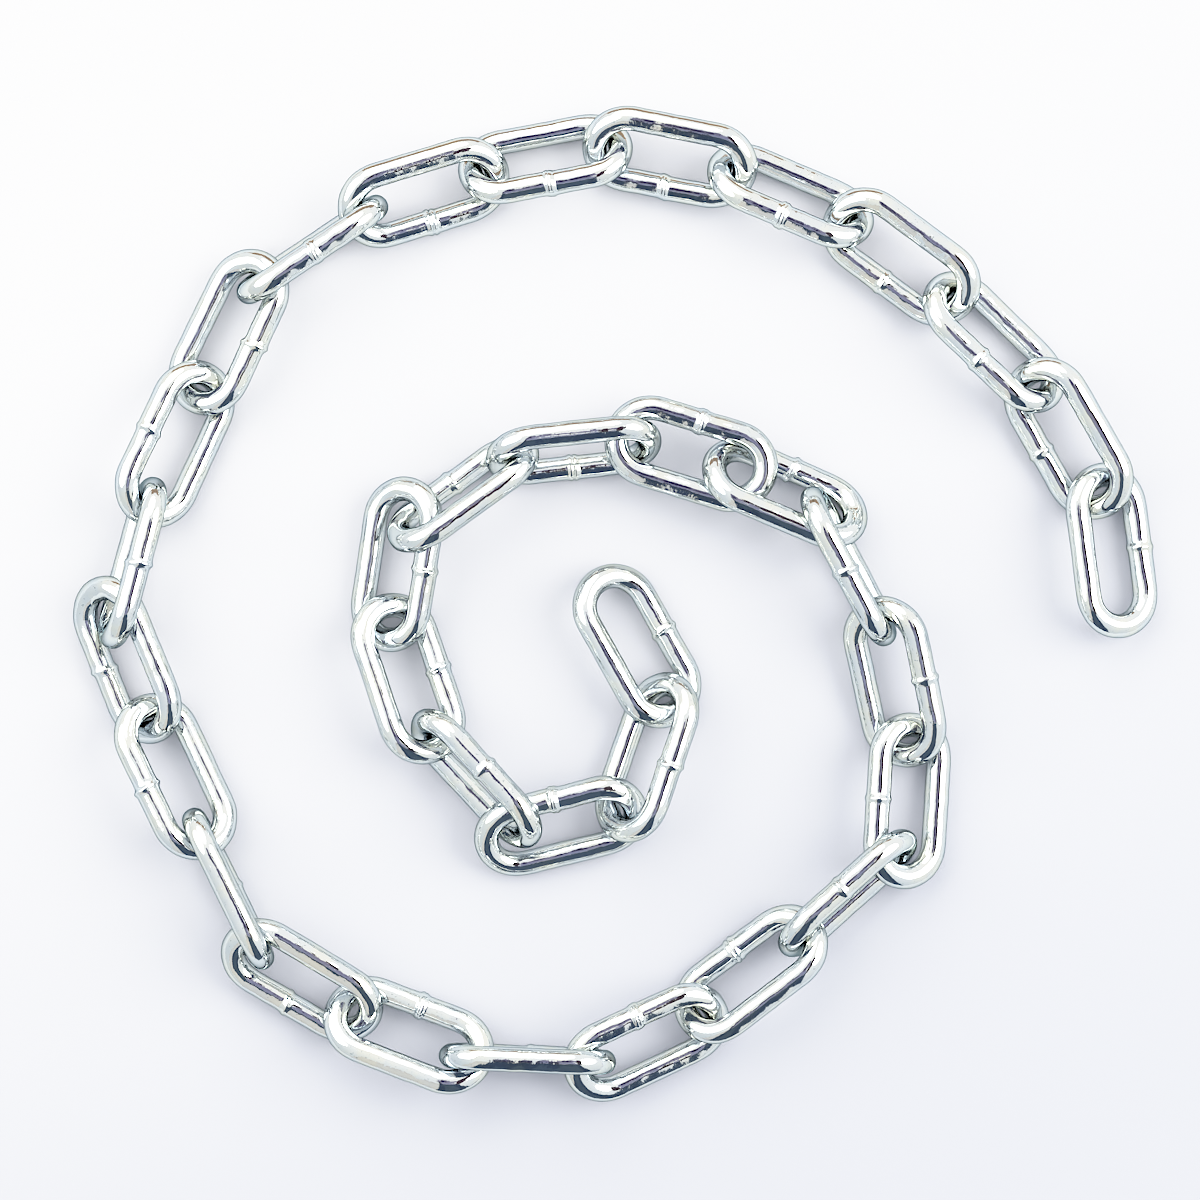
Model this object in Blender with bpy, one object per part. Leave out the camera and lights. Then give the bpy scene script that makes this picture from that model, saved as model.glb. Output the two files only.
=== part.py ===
"""A length of welded steel chain, laid flat in an inward spiral.

Thirty-four like links hang in each other, from the outer end of the spiral to its inner end. Each is a
ring of round wire with two straight bars and two round crowns, its ends welded together in the middle of
one bar, where a thin bead stands proud of the wire. Every other link leans the other way, so that each
crown sits inside the next one. The place and lean of each link were measured by hand. The links are then
eased apart until no two wires overlap, and let down until each lies on the floor or on its neighbours.

Metres, +Z up. The origin is on the floor, below the middle of the whole length's box.
"""

import math

import bpy
import numpy as np
from mathutils import Matrix

MM = 0.001

# The link: ordinary short commercial chain of 5 mm wire.
WIRE = 5.0 * MM
INNER_LENGTH = 26.2 * MM
INNER_WIDTH = 8.8 * MM
BEAD_RISE = 0.35 * MM
BEAD_WIDTH = 1.8 * MM
CLEARANCE = 0.2 * MM

# How finely the wire is drawn: steps in the half turn of a crown, and flat sides of its section.
CROWN_STEPS = 8
BEVEL_RESOLUTION = 3
SECTION_SIDES = 4 + 2 * BEVEL_RESOLUTION

# Worked out from the dimensions above. A bar's centre line lies BAR_OFFSET from the link's long axis.
WIRE_RADIUS = WIRE / 2
BAR_OFFSET = (INNER_WIDTH + WIRE) / 2
HALF_BAR = (INNER_LENGTH + WIRE) / 2 - BAR_OFFSET
# A crown is drawn with straight steps, so its corners stand out as far as the steps fall short.
STEP_ANGLE = math.pi / CROWN_STEPS
CROWN_CORNER = BAR_OFFSET * 2 / (1 + math.cos(STEP_ANGLE / 2))

# The links in order, from the outer end inwards: x and y of the middle in mm, the heading of the long
# axis towards the next link in degrees from +X, the lean about it in degrees, and the welded bar. A
# positive lean lifts the left bar, seen along the heading. The weld is in the left (+1) or right (-1) bar.
LAYOUT = (
    (105.0, 10.0, 96.7, 22, -1),
    (95.7, 33.2, 120.0, -34, 1),
    (80.8, 52.5, 136.0, 39, 1),
    (62.2, 69.9, 144.0, -29, 1),
    (38.7, 83.0, 157.0, 45, 1),
    (14.2, 90.7, 168.4, -32, 1),
    (-11.4, 90.3, 190.5, 34, 1),
    (-35.6, 83.1, 198.0, -37, 1),
    (-59.0, 71.8, 214.5, 75, 1),
    (-75.8, 54.7, 244.0, 25, 1),
    (-86.8, 32.1, 247.0, -34, -1),
    (-95.6, 7.1, 256.5, 74, 1),
    (-96.8, -12.1, 292.5, 38, -1),
    (-86.6, -35.9, 296.0, -38, -1),
    (-76.0, -58.6, 297.5, 80, -1),
    (-60.7, -78.2, 329.0, 40, -1),
    (-39.1, -88.8, 340.5, -30, 1),
    (-15.2, -93.6, 359.0, 80, -1),
    (9.6, -90.7, 24.5, 29, 1),
    (31.0, -76.3, 38.0, -34, 1),
    (50.7, -59.7, 42.0, 71, 1),
    (62.9, -41.2, 86.0, 22, 1),
    (60.5, -17.2, 102.7, -33, -1),
    (50.5, 7.3, 119.0, 74, 1),
    (37.6, 21.8, 158.0, 43, -1),
    (19.4, 29.8, 163.5, -25, -1),
    (-5.2, 31.8, 184.7, -62, 1),
    (-28.4, 20.9, 215.5, 64, -1),
    (-41.9, 7.2, 261.0, 43, 1),
    (-39.2, -16.1, 288.7, -23, 1),
    (-25.3, -36.3, 313.5, 61, 1),
    (-8.0, -46.4, 14.0, 37, 1),
    (9.9, -32.2, 70.0, -44, -1),
    (7.4, -9.3, 118.9, 20, -1),
)

# Laying the links down: rounds with the measured places pulling, then rounds without. In each round a
# link goes this share of the way back to its measured place, lean and level, and falls by this much.
PULLED_ROUNDS = 700
FREE_ROUNDS = 250
PLACE_PULL = 0.04
LEAN_PULL = 0.02
LEVEL_PULL = 0.001
FALL = 0.02 * MM
START_HEIGHT = 0.5 * MM
# A push moves a link most easily upwards. A turn gives way as a move does at this distance from its axis.
SIDEWAYS_EASE = 0.15
HEADING_ARM = 35.0 * MM
LEAN_ARM = 16.0 * MM
SLOPE_ARM = 11.0 * MM
EASE = np.array(
    [SIDEWAYS_EASE, SIDEWAYS_EASE, 1.0, HEADING_ARM**-2, LEAN_ARM**-2, SLOPE_ARM**-2]
)
# The wire's centre line as points, for the distance between two links. Each pair has up to this many
# places that press, and the points this near to one are left out when the next one is looked for.
RING_POINTS = 96
PRESSING_PLACES = 3
SKIPPED_POINTS = 5
FAR = 1.0
UP = np.array([0.0, 0.0, 1.0])

# Bright zinc plating on steel.
ZINC_COLOUR = (0.78, 0.80, 0.82, 1.0)
ZINC_ROUGHNESS = 0.18


def stadium(distance):
    """Points of the wire's centre line, as distances along the link and to its left.

    It starts in the middle of the left bar and goes forwards, round the front crown, back along the
    right bar and round the rear crown.
    """
    crown = math.pi * BAR_OFFSET
    bar = 2 * HALF_BAR
    distance = np.asarray(distance) % (2 * bar + 2 * crown)
    front = (distance - HALF_BAR).clip(0, crown) / BAR_OFFSET
    rear = (distance - HALF_BAR - crown - bar).clip(0, crown) / BAR_OFFSET
    turn = front + rear
    left_run = distance.clip(0, HALF_BAR) + (distance - HALF_BAR - 2 * crown - bar).clip(0, None)
    right_run = (distance - HALF_BAR - crown).clip(0, bar)
    along = left_run - right_run + BAR_OFFSET * np.sin(turn)
    return np.stack([along, BAR_OFFSET * np.cos(turn)], axis=-1)


def link_axes(poses):
    """The forward axis, the axis towards the left bar, and the level direction to the left of each link."""
    heading, lean, slope = poses[:, 3], poses[:, 4, None], poses[:, 5, None]
    level = np.zeros_like(heading)
    forward = np.stack([np.cos(heading), np.sin(heading), level], axis=1)
    left = np.stack([-np.sin(heading), np.cos(heading), level], axis=1)
    along = forward * np.cos(slope) + UP * np.sin(slope)
    above = UP * np.cos(slope) - forward * np.sin(slope)
    return along, left * np.cos(lean) + above * np.sin(lean), left


def wire_points(poses, ring):
    """The points of the ring in each link's place, link by link."""
    along, side, _ = link_axes(poses)
    return poses[:, None, :3] + ring[:, :1] * along[:, None] + ring[:, 1:] * side[:, None]


def rates(poses, links, points, direction):
    """How far each point goes along its direction, for a unit change of each number of its link's pose."""
    along, _, left = link_axes(poses[links])
    arm = points - poses[links, :3]
    turns = [
        np.einsum("ij,ij->i", np.cross(axis, arm), direction)
        for axis in (np.broadcast_to(UP, arm.shape), along, -left)
    ]
    return np.column_stack([direction, *turns])


def part_neighbours(poses, ring, first):
    """Pushes each link of the list first off the next link, where their wires come too near."""
    step = np.arange(RING_POINTS // 2 + 1)
    pair = np.arange(len(first))
    points = wire_points(poses, ring)
    outer = points[first][:, step]
    inner = points[first + 1][:, step - RING_POINTS // 2]
    offset = outer[:, :, None] - inner[:, None]
    distance = np.sqrt((offset**2).sum(axis=-1))
    for _ in range(PRESSING_PLACES):
        i, j = np.unravel_index(distance.reshape(len(first), -1).argmin(axis=1), distance.shape[1:])
        gap = distance[pair, i, j]
        direction = offset[pair, i, j] / gap[:, None]
        missing = (WIRE + CLEARANCE - gap).clip(0, None)
        one = rates(poses, first, outer[pair, i], direction)
        other = -rates(poses, first + 1, inner[pair, j], direction)
        push = missing / ((one**2 + other**2) @ EASE)
        poses[first] += push[:, None] * one * EASE
        poses[first + 1] += push[:, None] * other * EASE
        distance[np.abs(step - i[:, None]) <= SKIPPED_POINTS] = FAR


def lift_off_floor(poses, ring, radius):
    """Lifts the front and the rear half of each link until its lowest wire lies on the floor."""
    links = np.arange(len(poses))
    for half in (ring[:, 0] > 0, ring[:, 0] <= 0):
        points = wire_points(poses, ring)
        height = points[:, :, 2] - radius
        lowest = np.where(half, height, FAR).argmin(axis=1)
        points = points[links, lowest]
        rate = rates(poses, links, points, np.broadcast_to(UP, points.shape))
        missing = (-height[links, lowest]).clip(0, None)
        poses += (missing / (rate**2 @ EASE))[:, None] * rate * EASE


def settled_poses():
    """The links' poses, as x, y, z, heading, lean and slope, once they lie on the floor and each other."""
    layout = np.array(LAYOUT)
    lean = np.radians(layout[:, 3])
    height = WIRE_RADIUS + BAR_OFFSET * np.abs(np.sin(lean)) + START_HEIGHT
    level = np.zeros(len(layout))
    measured = np.column_stack([layout[:, :2] * MM, height, np.radians(layout[:, 2]), lean, level])
    poses = measured.copy()
    length = 4 * HALF_BAR + 2 * math.pi * BAR_OFFSET
    ring = stadium(np.arange(RING_POINTS) / RING_POINTS * length)
    on_bead = np.abs(ring[:, 0]) < BEAD_WIDTH / 2
    on_weld_side = ring[:, 1] * layout[:, 4:] > 0
    radius = WIRE_RADIUS + BEAD_RISE * (on_bead & on_weld_side)
    pull = np.array([PLACE_PULL, PLACE_PULL, 0.0, PLACE_PULL, LEAN_PULL, LEVEL_PULL])
    for step in range(PULLED_ROUNDS + FREE_ROUNDS):
        if step < PULLED_ROUNDS:
            poses += pull * (measured - poses)
            poses[:, 2] -= FALL
        part_neighbours(poses, ring, np.arange(0, len(poses) - 1, 2))
        part_neighbours(poses, ring, np.arange(1, len(poses) - 1, 2))
        lift_off_floor(poses, ring, radius)
    return poses


def wire_curve(name, weld_side, roll):
    """The link's wire as a closed curve with a round bevel, thicker across the weld bead."""
    turn = np.arange(CROWN_STEPS + 1) * STEP_ANGLE
    radius = np.full(len(turn), CROWN_CORNER)
    radius[[0, -1]] = BAR_OFFSET
    front = np.stack([HALF_BAR + radius * np.sin(turn), radius * np.cos(turn)], axis=1)
    bead_along = BEAD_WIDTH * np.array([-0.5, -0.25, 0.25, 0.5])
    bead = np.stack([bead_along, np.full(4, BAR_OFFSET)], axis=1)
    # From the bead in the left bar, forwards and once round. For a weld in the right bar the ring is
    # turned half round, which keeps the way it runs.
    points = np.concatenate([bead, front, -front]) * weld_side
    thickness = np.ones(len(points))
    thickness[1:3] += BEAD_RISE / WIRE_RADIUS
    curve = bpy.data.curves.new(name, "CURVE")
    curve.dimensions = "3D"
    curve.twist_mode = "Z_UP"
    curve.bevel_depth = WIRE_RADIUS
    curve.bevel_resolution = BEVEL_RESOLUTION
    spline = curve.splines.new("POLY")
    spline.points.add(len(points) - 1)
    for point, (x, y), scale in zip(spline.points, points, thickness):
        point.co = (x, y, 0.0, 1.0)
        point.radius = scale
        point.tilt = roll
    spline.use_cyclic_u = True
    spline.use_smooth = True
    return curve


def zinc_material():
    """Bright zinc plating: a pale, slightly blue metal with a clear gloss."""
    material = bpy.data.materials.new("bright_zinc_plated_steel")
    material.use_nodes = True
    shader = material.node_tree.nodes["Principled BSDF"]
    shader.inputs["Base Color"].default_value = ZINC_COLOUR
    shader.inputs["Metallic"].default_value = 1.0
    shader.inputs["Roughness"].default_value = ZINC_ROUGHNESS
    return material


def add_link(name, pose, weld_side, material, collection):
    """One link in its pose. Its wire is turned so that a flat side of the low bar faces straight down."""
    along, side, _ = (axis[0] for axis in link_axes(pose[None]))
    normal = np.cross(along, side)
    # Straight down, as an angle from the bar's outer side towards the link's normal.
    lean = pose[4]
    down = math.atan2(-math.cos(lean), abs(math.sin(lean)))
    curve = wire_curve(name, weld_side, down + math.pi / SECTION_SIDES)
    curve.materials.append(material)
    link = bpy.data.objects.new(name, curve)
    turned = np.column_stack([along, side, normal])
    link.matrix_world = Matrix.LocRotScale(pose[:3], Matrix(turned), None)
    collection.objects.link(link)
    return link


def box_of(objects):
    """The lowest and highest corner of the evaluated shapes."""
    graph = bpy.context.evaluated_depsgraph_get()
    corners = []
    for obj in objects:
        shape = obj.evaluated_get(graph)
        mesh = shape.to_mesh()
        points = np.array([shape.matrix_world @ vertex.co for vertex in mesh.vertices])
        corners += [points.min(axis=0), points.max(axis=0)]
        shape.to_mesh_clear()
    return np.min(corners, axis=0), np.max(corners, axis=0)


def main():
    """Clears the scene and lays the links, then puts the origin under the middle of their box."""
    for obj in list(bpy.data.objects):
        bpy.data.objects.remove(obj)
    collection = bpy.data.collections.new("steel_chain")
    bpy.context.scene.collection.children.link(collection)
    material = zinc_material()
    links = []
    for number, (pose, row) in enumerate(zip(settled_poses(), LAYOUT), start=1):
        links.append(add_link(f"link_{number:02d}", pose, row[4], material, collection))
    bpy.context.view_layer.update()
    low, high = box_of(links)
    for link in links:
        link.location.x -= (low[0] + high[0]) / 2
        link.location.y -= (low[1] + high[1]) / 2
        link.location.z -= low[2]


main()
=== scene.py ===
"""A length of bright zinc plated steel chain, laid flat in an inward spiral on a white ground.

Each link of the frame is drawn again as one fine surface: round wire carried along the link's centre line,
with the upset collar of its butt weld, the small step between the two welded ends, and the slight waves
that drawing and bending leave in the wire. The links stay where the frame has them. Soft white light comes
from all round and from three large lamps, and dark flags over and beside the chain give the mirror-bright
wire its dark lines and bands.
"""

import logging
import math
from dataclasses import dataclass, field
from enum import Enum

import bpy
import numpy as np
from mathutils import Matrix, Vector


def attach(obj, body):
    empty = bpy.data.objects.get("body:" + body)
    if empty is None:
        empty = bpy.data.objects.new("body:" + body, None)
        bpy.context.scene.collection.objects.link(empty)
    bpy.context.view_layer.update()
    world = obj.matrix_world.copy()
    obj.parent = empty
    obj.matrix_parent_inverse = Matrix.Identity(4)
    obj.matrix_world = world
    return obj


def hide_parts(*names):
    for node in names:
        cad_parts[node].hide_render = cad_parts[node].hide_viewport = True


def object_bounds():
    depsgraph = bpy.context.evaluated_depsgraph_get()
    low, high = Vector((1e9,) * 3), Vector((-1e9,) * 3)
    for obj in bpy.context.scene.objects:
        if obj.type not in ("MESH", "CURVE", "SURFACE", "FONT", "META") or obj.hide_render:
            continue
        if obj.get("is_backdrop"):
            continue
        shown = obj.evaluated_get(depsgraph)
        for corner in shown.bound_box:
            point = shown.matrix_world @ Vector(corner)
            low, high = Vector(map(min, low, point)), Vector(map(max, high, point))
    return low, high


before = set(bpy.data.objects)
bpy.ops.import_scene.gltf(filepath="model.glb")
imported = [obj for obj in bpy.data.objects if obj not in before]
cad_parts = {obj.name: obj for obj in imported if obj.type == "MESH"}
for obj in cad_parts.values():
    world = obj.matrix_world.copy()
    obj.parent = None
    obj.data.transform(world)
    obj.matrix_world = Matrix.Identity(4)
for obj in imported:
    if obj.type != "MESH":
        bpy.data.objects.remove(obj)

MM = 0.001
FULL_TURN = 2 * math.pi
BODY = "root"

log = logging.getLogger("chain")


def linear(code: str) -> tuple[float, float, float, float]:
    """Turns an sRGB hex colour into linear light, by the straight line and the power of the sRGB standard.

    Args:
        code: Six hex digits, with or without a leading hash.

    Returns:
        Red, green, blue and an alpha of 1.
    """
    values = np.array([int(code.lstrip("#")[at : at + 2], 16) for at in (0, 2, 4)]) / 255
    curve = np.where(values <= 0.04045, values / 12.92, ((values + 0.055) / 1.055) ** 2.4)
    return (*curve.tolist(), 1.0)


def add_node(
    tree: bpy.types.NodeTree, kind: str, settings: dict[str, str] | None = None, **links: object
) -> bpy.types.Node:
    """Adds a node with its settings and its links.

    Args:
        tree: The node tree that it goes into.
        kind: The node's type name.
        settings: Values for the node's own properties.
        links: For each input, by its name with underscores for spaces or by "in_" and its number, a value
            or the output socket that feeds it. A Mix of colours has its share at 0 and its colours at 6
            and 7.

    Returns:
        The new node.
    """
    node = tree.nodes.new(kind)
    for name, value in (settings or {}).items():
        setattr(node, name, value)
    for name, value in links.items():
        socket = node.inputs[int(name[3:])] if name.startswith("in_") else node.inputs[name.replace("_", " ")]
        if isinstance(value, bpy.types.NodeSocket):
            tree.links.new(value, socket)
        else:
            socket.default_value = value
    return node


def grid_mesh(name: str, points: np.ndarray, around: bool, closed: bool) -> bpy.types.Mesh:
    """Makes a mesh of quads from a grid of points.

    Face (i, j) joins the points (i, j), (i + 1, j), (i + 1, j + 1) and (i, j + 1). Past the last row or
    column it comes back to the first one where the grid is closed that way.

    Args:
        name: The mesh's name.
        points: The points as an array of rows by columns by 3, in metres.
        around: Whether the rows close on themselves.
        closed: Whether the columns close on themselves.

    Returns:
        The mesh, shaded smooth.
    """
    rows, columns = points.shape[:2]
    i, j = np.meshgrid(np.arange(rows - (not around)), np.arange(columns - (not closed)), indexing="ij")
    below, beside = (i + 1) % rows, (j + 1) % columns
    corners = np.stack([i * columns + j, below * columns + j, below * columns + beside, i * columns + beside])
    faces = corners.reshape(4, -1).T
    mesh = bpy.data.meshes.new(name)
    mesh.vertices.add(rows * columns)
    mesh.vertices.foreach_set("co", points.astype(np.float32).ravel())
    mesh.loops.add(faces.size)
    mesh.loops.foreach_set("vertex_index", faces.astype(np.int32).ravel())
    mesh.polygons.add(len(faces))
    mesh.polygons.foreach_set("loop_start", np.arange(0, faces.size, 4, dtype=np.int32))
    mesh.polygons.foreach_set("use_smooth", np.ones(len(faces), dtype=bool))
    mesh.update(calc_edges=True)
    return mesh


class WeldForm(Enum):
    """What the welding press left of the two upset wire ends."""

    RIDGE = "one rounded ridge"
    COLLAR = "a flat collar with a fine line round its middle"
    LIPS = "two lips with a groove between them"


@dataclass(frozen=True)
class WeldProfile:
    """A weld's section along the wire, as a share of its rise.

    It is the exponential of minus a power of the distance over the half width: the second power gives a
    round ridge, the fourth a flat top with steep sides. The groove is a narrow bell curve taken from it.
    """

    half_width: float
    power: int
    groove_depth: float = 0.0
    groove_width: float = 0.2 * MM

    def share(self, away: np.ndarray) -> np.ndarray:
        """The section's height at each distance from the weld's middle."""
        groove = self.groove_depth * np.exp(-((away / self.groove_width) ** 2))
        return np.exp(-((away / self.half_width) ** self.power)) - groove


WELD_PROFILES = {
    WeldForm.RIDGE: WeldProfile(half_width=0.612 * MM, power=2),
    WeldForm.COLLAR: WeldProfile(half_width=0.884 * MM, power=4, groove_depth=0.35, groove_width=0.11 * MM),
    WeldForm.LIPS: WeldProfile(half_width=1.02 * MM, power=4, groove_depth=0.8, groove_width=0.24 * MM),
}


@dataclass(frozen=True)
class WireSize:
    """The size of one link, in metres."""

    radius: float = 2.5 * MM
    inner_length: float = 26.2 * MM
    inner_width: float = 8.8 * MM
    # The length over which a straight bar passes into the round crown.
    bend_length: float = 2.4 * MM
    # The points at which the centre line is summed up, and those over which its turning is averaged.
    line_points: int = 4001
    bend_points: int = 17

    @property
    def bar_offset(self) -> float:
        """How far a bar's centre line lies from the link's long axis."""
        return self.inner_width / 2 + self.radius

    @property
    def half_bar(self) -> float:
        """Half the length of a straight bar."""
        return self.inner_length / 2 + self.radius - self.bar_offset

    @property
    def loop(self) -> float:
        """The length of the closed centre line."""
        return 4 * self.half_bar + FULL_TURN * self.bar_offset

    def centre_line(self, run: np.ndarray) -> tuple[np.ndarray, np.ndarray]:
        """The centre line and its outward direction, in the link's own plane.

        The direction of travel turns by a half turn in each crown. The turning is averaged over the bend
        length, which makes it start and end softly, and the line is its running sum.

        Args:
            run: Distances along the line from the middle of the welded bar, from 0 up to the loop length.

        Returns:
            The points and the unit directions outwards, each as an array of count by 2: along the link, and
            across it with the welded bar on the positive side.
        """
        fine = np.linspace(0, self.loop, self.line_points)
        spread = np.linspace(-0.5, 0.5, self.bend_points) * self.bend_length
        where = fine[:, None] + spread
        crown = math.pi * self.bar_offset
        front = (where - self.half_bar).clip(0, crown)
        rear = (where - 3 * self.half_bar - crown).clip(0, crown)
        turned = ((front + rear) / self.bar_offset).mean(axis=1)
        heading = np.stack([np.cos(turned), -np.sin(turned)], axis=1)
        step = fine[1] - fine[0]
        line = np.vstack([np.zeros(2), np.cumsum((heading[1:] + heading[:-1]) / 2 * step, axis=0)])
        line -= (line.max(axis=0) + line.min(axis=0)) / 2
        target = np.array([self.half_bar + self.bar_offset, self.bar_offset])
        line *= target / line.max(axis=0)
        points = np.stack([np.interp(run, fine, line[:, axis]) for axis in (0, 1)], axis=1)
        angle = np.interp(run, fine, turned)
        return points, np.stack([np.sin(angle), np.cos(angle)], axis=1)


@dataclass(frozen=True)
class LinkPose:
    """Where a link lies: the middle of its solid and the directions of its own axes."""

    middle: np.ndarray
    along: np.ndarray
    across: np.ndarray
    normal: np.ndarray

    @classmethod
    def of(cls, solid: bpy.types.Object, size: WireSize) -> "LinkPose":
        """Reads the pose from the frame's solid.

        The solid is summed up from tetrahedra between one point and each triangle. A tetrahedron's volume
        is a sixth of its corners' triple product, its middle a quarter of their sum, and its second moment
        a twentieth of its volume times the squares of the corners and of their sum. The principal
        directions of the whole are the link's axes: it is longest along, then wide across, and thinnest
        along its normal. The welded bar is the one that stands out further in the middle of the link.

        Args:
            solid: The frame's object of one link.
            size: The size of the link.

        Returns:
            The link's pose, with the welded bar on the positive side across.
        """
        mesh = solid.data
        mesh.calc_loop_triangles()
        points = np.empty(len(mesh.vertices) * 3, np.float32)
        mesh.vertices.foreach_get("co", points)
        points = points.reshape(-1, 3).astype(float)
        centre = points.mean(axis=0)
        points -= centre
        faces = np.empty(len(mesh.loop_triangles) * 3, np.int32)
        mesh.loop_triangles.foreach_get("vertices", faces)
        a, b, c = points[faces.reshape(-1, 3)].transpose(1, 0, 2)
        volume = np.einsum("ij,ij->i", a, np.cross(b, c)) / 6
        total = a + b + c
        middle = (volume[:, None] * total).sum(axis=0) / 4 / volume.sum()
        second = sum(np.einsum("i,ij,ik->jk", volume, part, part) for part in (total, a, b, c)) / 20
        spread = second / volume.sum() - np.outer(middle, middle)
        normal, across, along = np.linalg.eigh(spread)[1].T
        place = points - middle
        beside = np.abs(place @ along) < size.half_bar / 3
        reach = place[beside] @ across
        across = across if reach.max() > -reach.min() else -across
        # The weld draws the middle a little to its side, so that is taken from the rest of the link.
        rest = place[np.abs(place @ along) > size.half_bar] @ across
        middle = middle + across * (rest.max() + rest.min()) / 2
        return cls(centre + middle, along, across, np.cross(along, across))

    def placed(self, own: np.ndarray) -> np.ndarray:
        """Turns points from the link's own axes into the frame's.

        Args:
            own: Points whose last axis holds the distances along, across and along the normal.

        Returns:
            The same points in the frame, in metres.
        """
        return self.middle + own @ np.stack([self.along, self.across, self.normal])


@dataclass
class ChainLink:
    """One welded link: bent round wire with the upset collar of its butt weld."""

    name: str
    number: int
    weld: WeldForm
    size: WireSize = field(default_factory=WireSize)
    rows: int = 208
    columns: int = 40
    # How much closer the rows lie at the weld than on average.
    crowding: float = 0.74
    # How far the collar stands out: each link's own has the least share of this, and by chance up to the
    # further share more.
    collar_rise: float = 0.34 * MM
    least_rise: float = 0.85
    more_rise: float = 0.3
    # By what share the collar is higher on two opposite sides of the wire.
    oval_rise: float = 0.22
    # How far the collar leans along the wire, at least, and further by chance.
    least_lean: float = 0.1 * MM
    more_lean: float = 0.25 * MM
    # How far the welded ends are moved apart, how softly, and how far along the bar that reaches.
    step: float = 0.13 * MM
    step_softness: float = 0.3 * MM
    step_reach: float = 5.0 * MM
    # The waves: their number, the height of one that goes 14 times along the loop, and how height falls.
    wave_count: int = 14
    wave_height: float = 0.006 * MM
    wave_times: float = 14.0
    wave_fall: float = 0.7
    # How often a wave may go along the loop and round the wire: from the first number to below the second.
    times_range: tuple[int, int] = (3, 26)
    lobes_range: tuple[int, int] = (-3, 4)
    first_seed: int = 1000
    chance: np.random.Generator = field(init=False, repr=False)

    def __post_init__(self) -> None:
        """Seeds the link's own small irregularities with its number."""
        self.chance = np.random.default_rng(self.first_seed + self.number)

    def runs(self) -> tuple[np.ndarray, np.ndarray]:
        """The rows' distances from the weld, going round once, and the same with their sign.

        The share of the loop is bent by a sine, so that the rows crowd together at the weld.

        Returns:
            The distances from 0 up to the loop length, and from minus to plus half of it.
        """
        share = np.arange(self.rows) / self.rows
        run = self.size.loop * (share - self.crowding * np.sin(FULL_TURN * share) / FULL_TURN)
        return run, np.where(run > self.size.loop / 2, run - self.size.loop, run)

    def collar(self, signed: np.ndarray, turn: np.ndarray) -> np.ndarray:
        """How far the weld stands out from the wire.

        The weld's section goes round the wire. Its plane leans by a cosine of the angle, and its height
        changes by a cosine of twice the angle.

        Args:
            signed: The rows' distances from the weld, as a column.
            turn: The angles round the wire, as a row.

        Returns:
            The rise of each point, in metres.
        """
        lean, phase, lobe, more = self.chance.uniform(0, 1, 4)
        leaning = self.least_lean + self.more_lean * lean
        away = signed - leaning * np.cos(turn - FULL_TURN * phase)
        rise = self.collar_rise * (self.least_rise + self.more_rise * more)
        height = rise * (1 + self.oval_rise * np.cos(2 * turn - FULL_TURN * lobe))
        return height * WELD_PROFILES[self.weld].share(away)

    def waves(self, run: np.ndarray, turn: np.ndarray) -> np.ndarray:
        """The slight unevenness of the wire: a sum of sines along it and round it.

        Each wave goes a whole number of times along the loop and round the wire, so that it closes.

        Args:
            run: The rows' distances along the loop, as a column.
            turn: The angles round the wire, as a row.

        Returns:
            The height of each point over the even wire, in metres.
        """
        times = self.chance.integers(*self.times_range, self.wave_count)
        lobes = self.chance.integers(*self.lobes_range, self.wave_count)
        phase = self.chance.uniform(0, FULL_TURN, self.wave_count)
        along = FULL_TURN / self.size.loop * run[..., None] * times
        heights = self.wave_height * (self.wave_times / times) ** self.wave_fall
        return (heights * np.sin(along + turn[..., None] * lobes + phase)).sum(axis=-1)

    def surface(self) -> tuple[np.ndarray, np.ndarray, np.ndarray]:
        """The link's surface, as a circle carried along the centre line.

        A point is the centre line's point plus the radius times the outward direction and less the
        radius times the link's normal, weighted by the cosine and sine of the angle round the wire. The
        two welded ends are moved apart sideways by a step that fades out along the bar.

        Returns:
            The points in the link's own axes, the rows' distances and the columns' angles.
        """
        run, signed = self.runs()
        turn = np.arange(self.columns) * FULL_TURN / self.columns
        line, outward = self.size.centre_line(run)
        collar = self.collar(signed[:, None], turn[None])
        waves = self.waves(run[:, None], turn[None])
        radius = self.size.radius + collar + waves
        slip = self.chance.uniform(0, FULL_TURN)
        fading = np.exp(-((signed / self.step_reach) ** 2))
        shift = self.step * np.tanh(signed / self.step_softness) * fading
        cosine, sine = radius * np.cos(turn), -radius * np.sin(turn)
        cosine = cosine + (shift * math.cos(slip))[:, None]
        sine = sine + (shift * math.sin(slip))[:, None]
        flat = line[:, None] + cosine[..., None] * outward[:, None]
        return np.concatenate([flat, sine[..., None]], axis=-1), run, turn

    def lay_wire_map(self, mesh: bpy.types.Mesh, run: np.ndarray, turn: np.ndarray) -> None:
        """Lays a map over the wire whose two numbers are true distances in metres, along and round it.

        Args:
            mesh: The link's mesh, as grid_mesh makes it.
            run: The rows' distances along the loop.
            turn: The columns' angles.
        """
        u = np.append(run, self.size.loop)
        v = np.append(turn, FULL_TURN) * self.size.radius
        i, j = np.meshgrid(np.arange(self.rows), np.arange(self.columns), indexing="ij")
        corners = [(i, j), (i + 1, j), (i + 1, j + 1), (i, j + 1)]
        flat = np.stack([np.stack([u[row], v[column]], axis=-1) for row, column in corners], axis=2)
        layer = mesh.uv_layers.new(name="wire")
        layer.data.foreach_set("uv", flat.astype(np.float32).ravel())

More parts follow.
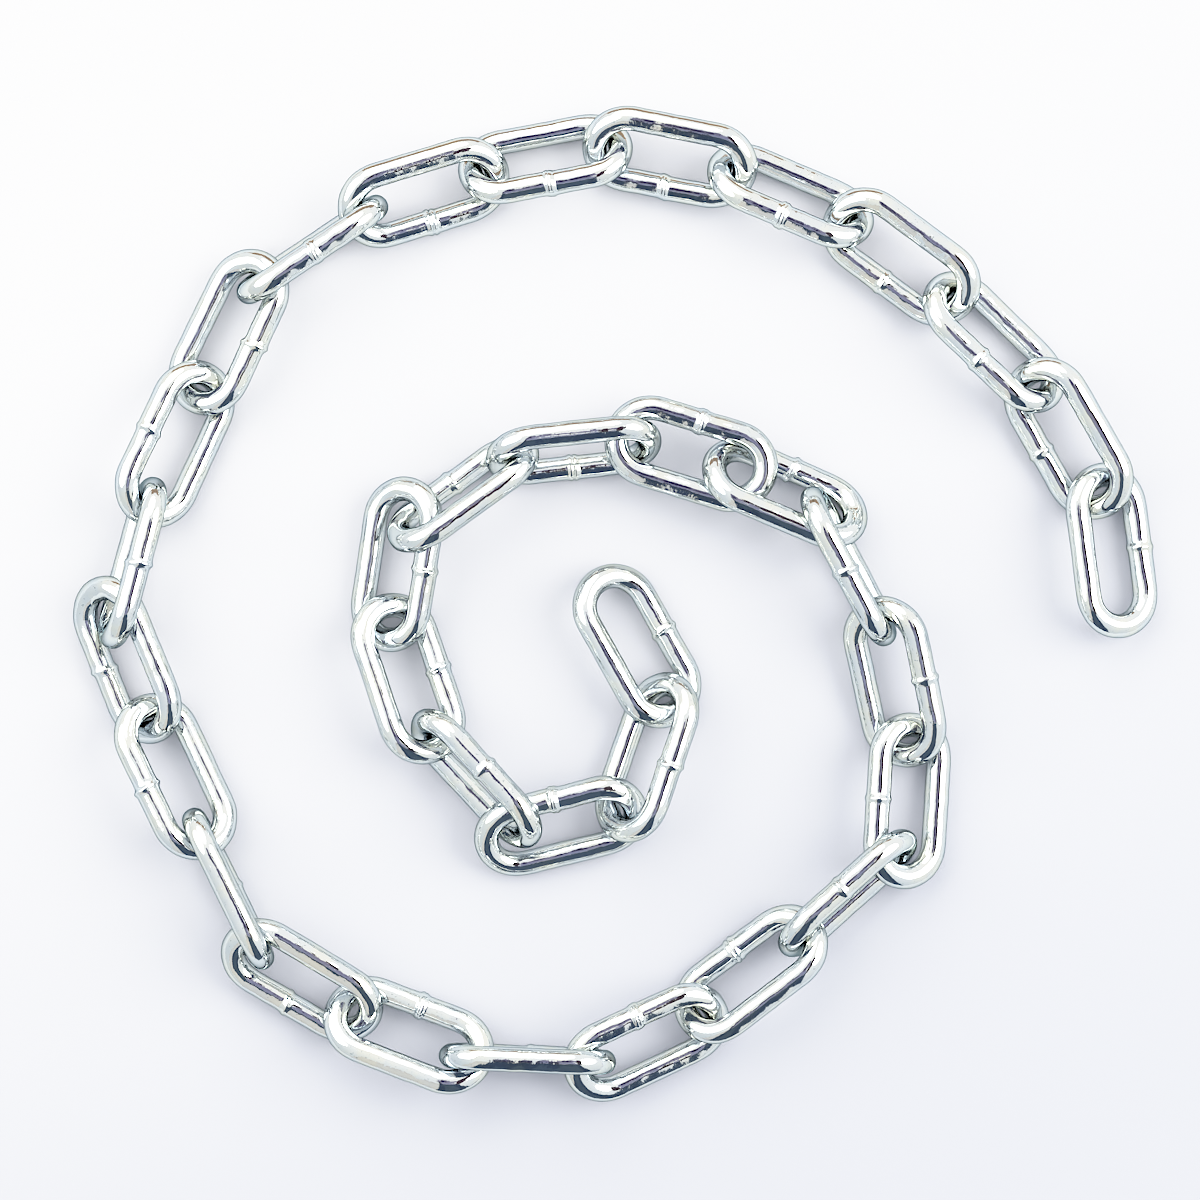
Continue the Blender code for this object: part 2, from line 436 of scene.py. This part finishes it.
    def build(self, finish: bpy.types.Material) -> bpy.types.Object:
        """Draws the link over its solid in the frame, which it replaces.

        Args:
            finish: The material of the wire.

        Returns:
            The new piece.
        """
        pose = LinkPose.of(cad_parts[self.name], self.size)
        points, run, turn = self.surface()
        mesh = grid_mesh(f"{self.name}_wire", pose.placed(points), around=True, closed=True)
        self.lay_wire_map(mesh, run, turn)
        mesh.materials.append(finish)
        piece = bpy.data.objects.new(f"{self.name}_wire", mesh)
        bpy.context.scene.collection.objects.link(piece)
        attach(piece, BODY)
        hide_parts(self.name)
        return piece


@dataclass(frozen=True)
class BrightZinc:
    """Electroplated zinc with a clear blue passivation, on drawn steel wire.

    To the eye it is a bright, slightly blue metal that mirrors softly. Drawing leaves fine lines along the
    wire, the plating is a little grainy, and the passivation is here faintly straw, there faintly blue.
    """

    colour: str = "#E2E6E7"
    blue_tint: str = "#DCE2E8"
    straw_tint: str = "#E8E9E2"
    speck: str = "#B4BCC2"
    # The metal mirrors less, and greyer, where it is seen at a flat angle.
    edge: str = "#74838A"
    # Sizes of the patterns. Drawing lines and plating grain are finer on the real wire, and are drawn as
    # coarse as they need to be to show.
    cloud_size: float = 5.0 * MM
    line_length: float = 5.0 * MM
    line_width: float = 0.22 * MM
    grain_size: float = 0.8 * MM
    speck_size: float = 0.6 * MM
    line_depth: float = 0.006 * MM
    grain_depth: float = 0.018 * MM
    # How rough the metal is between the drawing lines and on them.
    smooth: float = 0.04
    dull: float = 0.1
    # The part of each noise, from 0 to 1, over which the tint, the specks and the roughness change.
    tint_range: tuple[float, float] = (0.34, 0.66)
    speck_range: tuple[float, float] = (0.66, 0.74)
    line_range: tuple[float, float] = (0.3, 0.7)
    # How many times the noises are repeated at half their size, and the grain's.
    detail: float = 2.0
    grain_detail: float = 1.0

    def material(self) -> bpy.types.Material:
        """Makes the material.

        Returns:
            The material, with patterns in true size.
        """
        material = bpy.data.materials.new("bright_zinc_plating_on_drawn_wire")
        material.use_nodes = True
        tree = material.node_tree
        tree.nodes.clear()
        place = add_node(tree, "ShaderNodeTexCoord").outputs["Object"]
        wire = add_node(tree, "ShaderNodeUVMap", {"uv_map": "wire"}).outputs["UV"]
        clouds = add_node(
            tree, "ShaderNodeTexNoise", Vector=place, Scale=1 / self.cloud_size, Detail=self.detail
        )
        tint = add_node(tree, "ShaderNodeValToRGB", Fac=clouds.outputs["Fac"])
        ramp = tint.color_ramp
        ends = zip(ramp.elements, self.tint_range, (self.blue_tint, self.straw_tint))
        for element, position, code in ends:
            element.position, element.color = position, linear(code)
        middle = ramp.elements.new(0.5)
        middle.color = linear(self.colour)
        grain = add_node(
            tree, "ShaderNodeTexNoise", Vector=place, Scale=1 / self.grain_size, Detail=self.grain_detail
        )
        specks = add_node(
            tree, "ShaderNodeTexNoise", Vector=place, Scale=1 / self.speck_size, Detail=self.detail
        )
        speckled = add_node(
            tree,
            "ShaderNodeMapRange",
            Value=specks.outputs["Fac"],
            From_Min=self.speck_range[0],
            From_Max=self.speck_range[1],
        )
        colour = add_node(
            tree,
            "ShaderNodeMix",
            {"data_type": "RGBA"},
            in_0=speckled.outputs["Result"],
            in_6=tint.outputs["Color"],
            in_7=linear(self.speck),
        )
        stretch = add_node(
            tree,
            "ShaderNodeMapping",
            Vector=wire,
            Scale=(1 / self.line_length, 1 / self.line_width, 1.0),
        )
        lines = add_node(
            tree, "ShaderNodeTexNoise", Vector=stretch.outputs["Vector"], Scale=1.0, Detail=self.detail
        )
        roughness = add_node(
            tree,
            "ShaderNodeMapRange",
            Value=lines.outputs["Fac"],
            From_Min=self.line_range[0],
            From_Max=self.line_range[1],
            To_Min=self.smooth,
            To_Max=self.dull,
        )
        drawn = add_node(tree, "ShaderNodeBump", Height=lines.outputs["Fac"], Distance=self.line_depth)
        plated = add_node(
            tree,
            "ShaderNodeBump",
            Height=grain.outputs["Fac"],
            Distance=self.grain_depth,
            Normal=drawn.outputs["Normal"],
        )
        shader = add_node(
            tree,
            "ShaderNodeBsdfPrincipled",
            Base_Color=colour.outputs["Result"],
            Metallic=1.0,
            Specular_Tint=linear(self.edge),
            Roughness=roughness.outputs["Result"],
            Normal=plated.outputs["Normal"],
        )
        add_node(tree, "ShaderNodeOutputMaterial", Surface=shader.outputs["BSDF"])
        return material


@dataclass(frozen=True)
class Chain:
    """The whole length, link by link from the outer end of the spiral."""

    # The weld of each link, as its collar looks from above: R a ridge, C a collar, L two lips.
    welds: str = "RRRRCCCLCRRRRRRRCRCLRRRRRCLRRRRCRR"
    finish: BrightZinc = BrightZinc()

    def build(self) -> list[bpy.types.Object]:
        """Draws every link.

        Returns:
            The pieces, in order.
        """
        forms = {form.name[0]: form for form in WeldForm}
        material = self.finish.material()
        names = sorted(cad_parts)
        return [
            ChainLink(name, number, forms[letter]).build(material)
            for number, (name, letter) in enumerate(zip(names, self.welds), start=1)
        ]


@dataclass(frozen=True)
class WhiteGround:
    """Plain matt white card under the chain, with painted shade: its colour darkens towards the front right
    as a painted falloff of the light, so it is brighter towards the back left.

    Uncoated card scatters light evenly, so it shows soft shadows and next to no shine.
    """

    # The card's colour at the back left, and the darker one it is painted towards at the front right: a
    # painted shade that stands in for the light's falloff.
    colour: str = "#CDCDD7"
    painted_shade_colour: str = "#B2B4C3"
    roughness: float = 0.9
    shine: float = 0.1
    # The direction in which the painted shade darkens the colour, and how far from the middle it goes on
    # changing.
    towards: tuple[float, float, float] = (0.5, -0.9, 0.0)
    reach: float = 0.15
    half_width: float = 4.0
    # The ground lies this far below the lowest wire.
    gap: float = 0.01 * MM

    def build(self) -> bpy.types.Object:
        """Lays the ground under the pieces.

        Returns:
            The ground, which is staged.
        """
        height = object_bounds()[0].z - self.gap
        side = np.array([-self.half_width, self.half_width])
        x, y = np.meshgrid(side, side, indexing="ij")
        points = np.stack([x, y, np.full_like(x, height)], axis=-1)
        mesh = grid_mesh("white_ground", points, around=False, closed=False)
        material = bpy.data.materials.new("matt_white_card")
        material.use_nodes = True
        tree = material.node_tree
        shader = tree.nodes["Principled BSDF"]
        place = add_node(tree, "ShaderNodeTexCoord").outputs["Object"]
        along = add_node(
            tree, "ShaderNodeVectorMath", {"operation": "DOT_PRODUCT"}, in_0=place, in_1=self.towards
        )
        share = add_node(
            tree,
            "ShaderNodeMapRange",
            {"interpolation_type": "SMOOTHSTEP"},
            Value=along.outputs["Value"],
            From_Min=-self.reach,
            From_Max=self.reach,
        )
        # Painted shade: the card's colour is mixed towards the darker one along that direction, in place of
        # the light's falloff.
        tone = add_node(
            tree,
            "ShaderNodeMix",
            {"data_type": "RGBA"},
            in_0=share.outputs["Result"],
            in_6=linear(self.colour),
            in_7=linear(self.painted_shade_colour),
        )
        tree.links.new(tone.outputs["Result"], shader.inputs["Base Color"])
        shader.inputs["Roughness"].default_value = self.roughness
        shader.inputs["Specular IOR Level"].default_value = self.shine
        mesh.materials.append(material)
        ground = bpy.data.objects.new("white_ground", mesh)
        bpy.context.scene.collection.objects.link(ground)
        ground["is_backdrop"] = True
        return ground


@dataclass(frozen=True)
class Flag:
    """A matt cloth flag: a strip that goes from row to row of its route.

    Each row of the route gives y, z, the left edge's x and the right edge's x, in millimetres. A flag shows
    only where the wire mirrors it, and throws no shadow on the ground.
    """

    name: str
    colour: str
    route: tuple[tuple[float, float, float, float], ...]

    def build(self) -> bpy.types.Object:
        """Hangs the flag.

        Returns:
            The flag, which is staged.
        """
        y, z, left, right = np.array(self.route).T * MM
        points = np.stack([np.stack([x, y, z], axis=1) for x in (left, right)], axis=1)
        mesh = grid_mesh(self.name, points, around=False, closed=False)
        material = bpy.data.materials.new(f"{self.name}_cloth")
        material.use_nodes = True
        shader = material.node_tree.nodes["Principled BSDF"]
        shader.inputs["Base Color"].default_value = linear(self.colour)
        shader.inputs["Roughness"].default_value = 1.0
        shader.inputs["Specular IOR Level"].default_value = 0.0
        mesh.materials.append(material)
        flag = bpy.data.objects.new(self.name, mesh)
        bpy.context.scene.collection.objects.link(flag)
        flag.visible_camera = flag.visible_diffuse = flag.visible_shadow = False
        flag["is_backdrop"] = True
        return flag


@dataclass(frozen=True)
class Lamp:
    """A round soft light that faces the chain: its power in watts, and its width and place in metres."""

    name: str
    power: float
    width: float
    place: tuple[float, float, float]
    colour: str = "#FFFFF6"

    def build(self) -> bpy.types.Object:
        """Sets up the light.

        Returns:
            The light.
        """
        light = bpy.data.lights.new(self.name, "AREA")
        light.shape = "DISK"
        light.size = self.width
        light.energy = self.power
        light.color = linear(self.colour)[:3]
        lamp = bpy.data.objects.new(self.name, light)
        lamp.location = self.place
        lamp.rotation_euler = Vector(self.place).to_track_quat("Z", "Y").to_euler()
        bpy.context.scene.collection.objects.link(lamp)
        return lamp


@dataclass(frozen=True)
class Studio:
    """Soft white light from all round, three large soft lamps at the right, left and back, and the flags."""

    bright: str = "#FFFFFA"
    dim: str = "#CDD5D8"
    # The side on which the sky is brightest, and between which cosines to it the sky changes.
    bright_side: tuple[float, float, float] = (0.35, 0.8, 0.5)
    sky_range: tuple[float, float] = (-0.6, 0.8)
    sky_strength: float = 1.3
    lamps: tuple[Lamp, ...] = (
        Lamp("light_right", 7.8, 0.7, (0.6, 0.1, 0.54)),
        Lamp("light_left", 1.9, 0.5, (-0.38, 0.1, 0.36)),
        Lamp("light_back", 1.6, 0.5, (-0.1, 0.42, 0.4)),
    )
    # The scene's light at which the tone curve ends, the tone it ends at, and points of the curve in
    # between, all in linear light.
    white: float = 1.75
    brightest: float = 0.985
    shoulder: tuple[tuple[float, float], ...] = (
        (0.05, 0.055),
        (0.2, 0.21),
        (0.5, 0.5),
        (0.8, 0.74),
        (1.0, 0.86),
        (1.3, 0.95),
    )
    sharpening: float = 0.12
    flags: tuple[Flag, ...] = (
        # High over the chain, at and above the camera.
        Flag(
            "flag_over_back", "#6E6A80", ((190, 760, -10, 100), (120, 760, -50, 130), (20, 760, -60, 130))
        ),
        Flag("flag_camera", "#2A243E", ((100, 655, -15, 41), (40, 655, -34, 42), (-60, 655, -38, 42))),
        Flag(
            "flag_round_camera", "#807C92", ((60, 662, -60, 170), (-30, 662, -90, 175), (-90, 662, -120, 120))
        ),
        Flag(
            "flag_over_front", "#8C8CA2", ((-60, 700, -60, 80), (-200, 710, -80, 190), (-300, 710, -90, 230))
        ),
        Flag("flag_left", "#3B3B4C", ((-60, 655, -110, -60), (-300, 670, -125, -65))),
        Flag(
            "flag_right",
            "#3A2E36",
            (
                (185, 640, 240, 330),
                (110, 640, 170, 350),
                (10, 640, 160, 350),
                (-60, 645, 150, 330),
                (-190, 655, 190, 320),
                (-310, 670, 190, 300),
            ),
        ),
        # In front of the chain, from the camera's height down to the ground and a little way over it.
        Flag(
            "flag_front",
            "#36414E",
            (
                (-300, 690, -115, 250),
                (-370, 600, -118, 245),
                (-400, 420, -118, 235),
                (-400, 200, -118, 210),
                (-400, 60, -120, 190),
                (-380, 1, -122, 180),
                (-170, 1, -60, 95),
            ),
        ),
        Flag(
            "flag_front_right", "#2A3444", ((-330, 640, 140, 210), (-395, 300, 110, 190), (-385, 5, 80, 150))
        ),
        Flag(
            "flag_front_left",
            "#2A3444",
            ((-300, 680, -118, -55), (-395, 300, -118, -50), (-385, 5, -122, -60)),
        ),
        Flag(
            "flag_front_pale",
            "#B1AFAC",
            ((-330, 640, -230, -118), (-390, 300, -260, -118), (-400, 10, -260, -122)),
        ),
        # A brown table top and something low on it behind the card. The raised crowns mirror them as small
        # spots, and the upper edges of the bars as a thin line.
        Flag("flag_table", "#806C5C", ((400, 85, -240, 170), (400, 1, -240, 170), (160, 1, -200, 140))),
        # Just over the ground lies a grey copy of the ground that only the wire mirrors: a painted shade in
        # the wire's reflection. The rims of the wire mirror the ground a little darker than the eye sees it.
        Flag("flag_ground", "#B9BEC4", ((-400, -0.15, -400, 400), (400, -0.15, -400, 400))),
    )

    def build(self) -> None:
        """Sets the sky, the lamps and the flags."""
        scene = bpy.context.scene
        world = bpy.data.worlds.new("studio")
        scene.world = world
        world.use_nodes = True
        tree = world.node_tree
        tree.nodes.clear()
        direction = add_node(tree, "ShaderNodeTexCoord").outputs["Generated"]
        towards = Vector(self.bright_side).normalized()
        facing = add_node(
            tree, "ShaderNodeVectorMath", {"operation": "DOT_PRODUCT"}, in_0=direction, in_1=towards
        )
        share = add_node(
            tree,
            "ShaderNodeMapRange",
            Value=facing.outputs["Value"],
            From_Min=self.sky_range[0],
            From_Max=self.sky_range[1],
        )
        sky = add_node(
            tree,
            "ShaderNodeMix",
            {"data_type": "RGBA"},
            in_0=share.outputs["Result"],
            in_6=linear(self.dim),
            in_7=linear(self.bright),
        )
        light = add_node(
            tree, "ShaderNodeBackground", Color=sky.outputs["Result"], Strength=self.sky_strength
        )
        add_node(tree, "ShaderNodeOutputWorld", Surface=light.outputs["Background"])
        for lamp in self.lamps:
            lamp.build()
        for flag in self.flags:
            flag.build()
        scene.view_settings.view_transform = "Standard"
        self.develop(scene)

    def develop(self, scene: bpy.types.Scene) -> None:
        """Gives the picture the camera's soft shoulder in the highlights and its slight sharpening.

        Args:
            scene: The scene whose picture is developed.
        """
        scene.use_nodes = True
        tree = scene.node_tree
        tree.nodes.clear()
        picture = add_node(tree, "CompositorNodeRLayers").outputs["Image"]
        curves = add_node(tree, "CompositorNodeCurveRGB", Image=picture, White_Level=(*[self.white] * 3, 1.0))
        # The node's fourth curve is the one for all three colours, and at first it has its two ends.
        curve = curves.mapping.curves[3]
        curve.points[1].location.y = self.brightest
        for light, tone in self.shoulder:
            curve.points.new(light / self.white, tone)
        curves.mapping.update()
        sharp = add_node(
            tree,
            "CompositorNodeFilter",
            {"filter_type": "SHARPEN_DIAMOND"},
            Fac=self.sharpening,
            Image=curves.outputs["Image"],
        )
        add_node(tree, "CompositorNodeComposite", Image=sharp.outputs["Image"])


@dataclass(frozen=True)
class OverheadCamera:
    """The photograph's view: straight down from 650 mm over the middle of the picture.

    The picture's middle lies at place_x and place_y in the frame, and each of its pixels covers 0.205 mm at
    the mean height of the wires.
    """

    place_x: float = -3.13 * MM
    place_y: float = 1.26 * MM
    height: float = 650.0 * MM
    mean_height: float = 5.4 * MM
    picture_pixels: int = 1200
    pixel_size: float = 0.205 * MM
    # The width of the camera's sensor, in its own millimetres.
    sensor_width: float = 36.0

    def build(self) -> bpy.types.Object:
        """Sets up the camera.

        Returns:
            The camera, which is the scene's.
        """
        data = bpy.data.cameras.new("overhead")
        data.sensor_width = self.sensor_width
        distance = self.height - self.mean_height
        data.lens = self.sensor_width * distance / (self.picture_pixels * self.pixel_size)
        camera = bpy.data.objects.new("overhead", data)
        camera.location = (self.place_x, self.place_y, self.height)
        bpy.context.scene.collection.objects.link(camera)
        bpy.context.scene.camera = camera
        return camera


def main() -> None:
    """Builds the camera, the chain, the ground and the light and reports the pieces."""
    logging.basicConfig(level=logging.INFO, format="%(name)s %(message)s")
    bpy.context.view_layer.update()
    OverheadCamera().build()
    pieces = Chain().build()
    ground = WhiteGround().build()
    Studio().build()
    for piece in [*pieces, ground]:
        log.info("%s: %d faces, in %s", piece.name, len(piece.data.polygons), piece.data.materials[0].name)


if __name__ == "__main__":
    main()
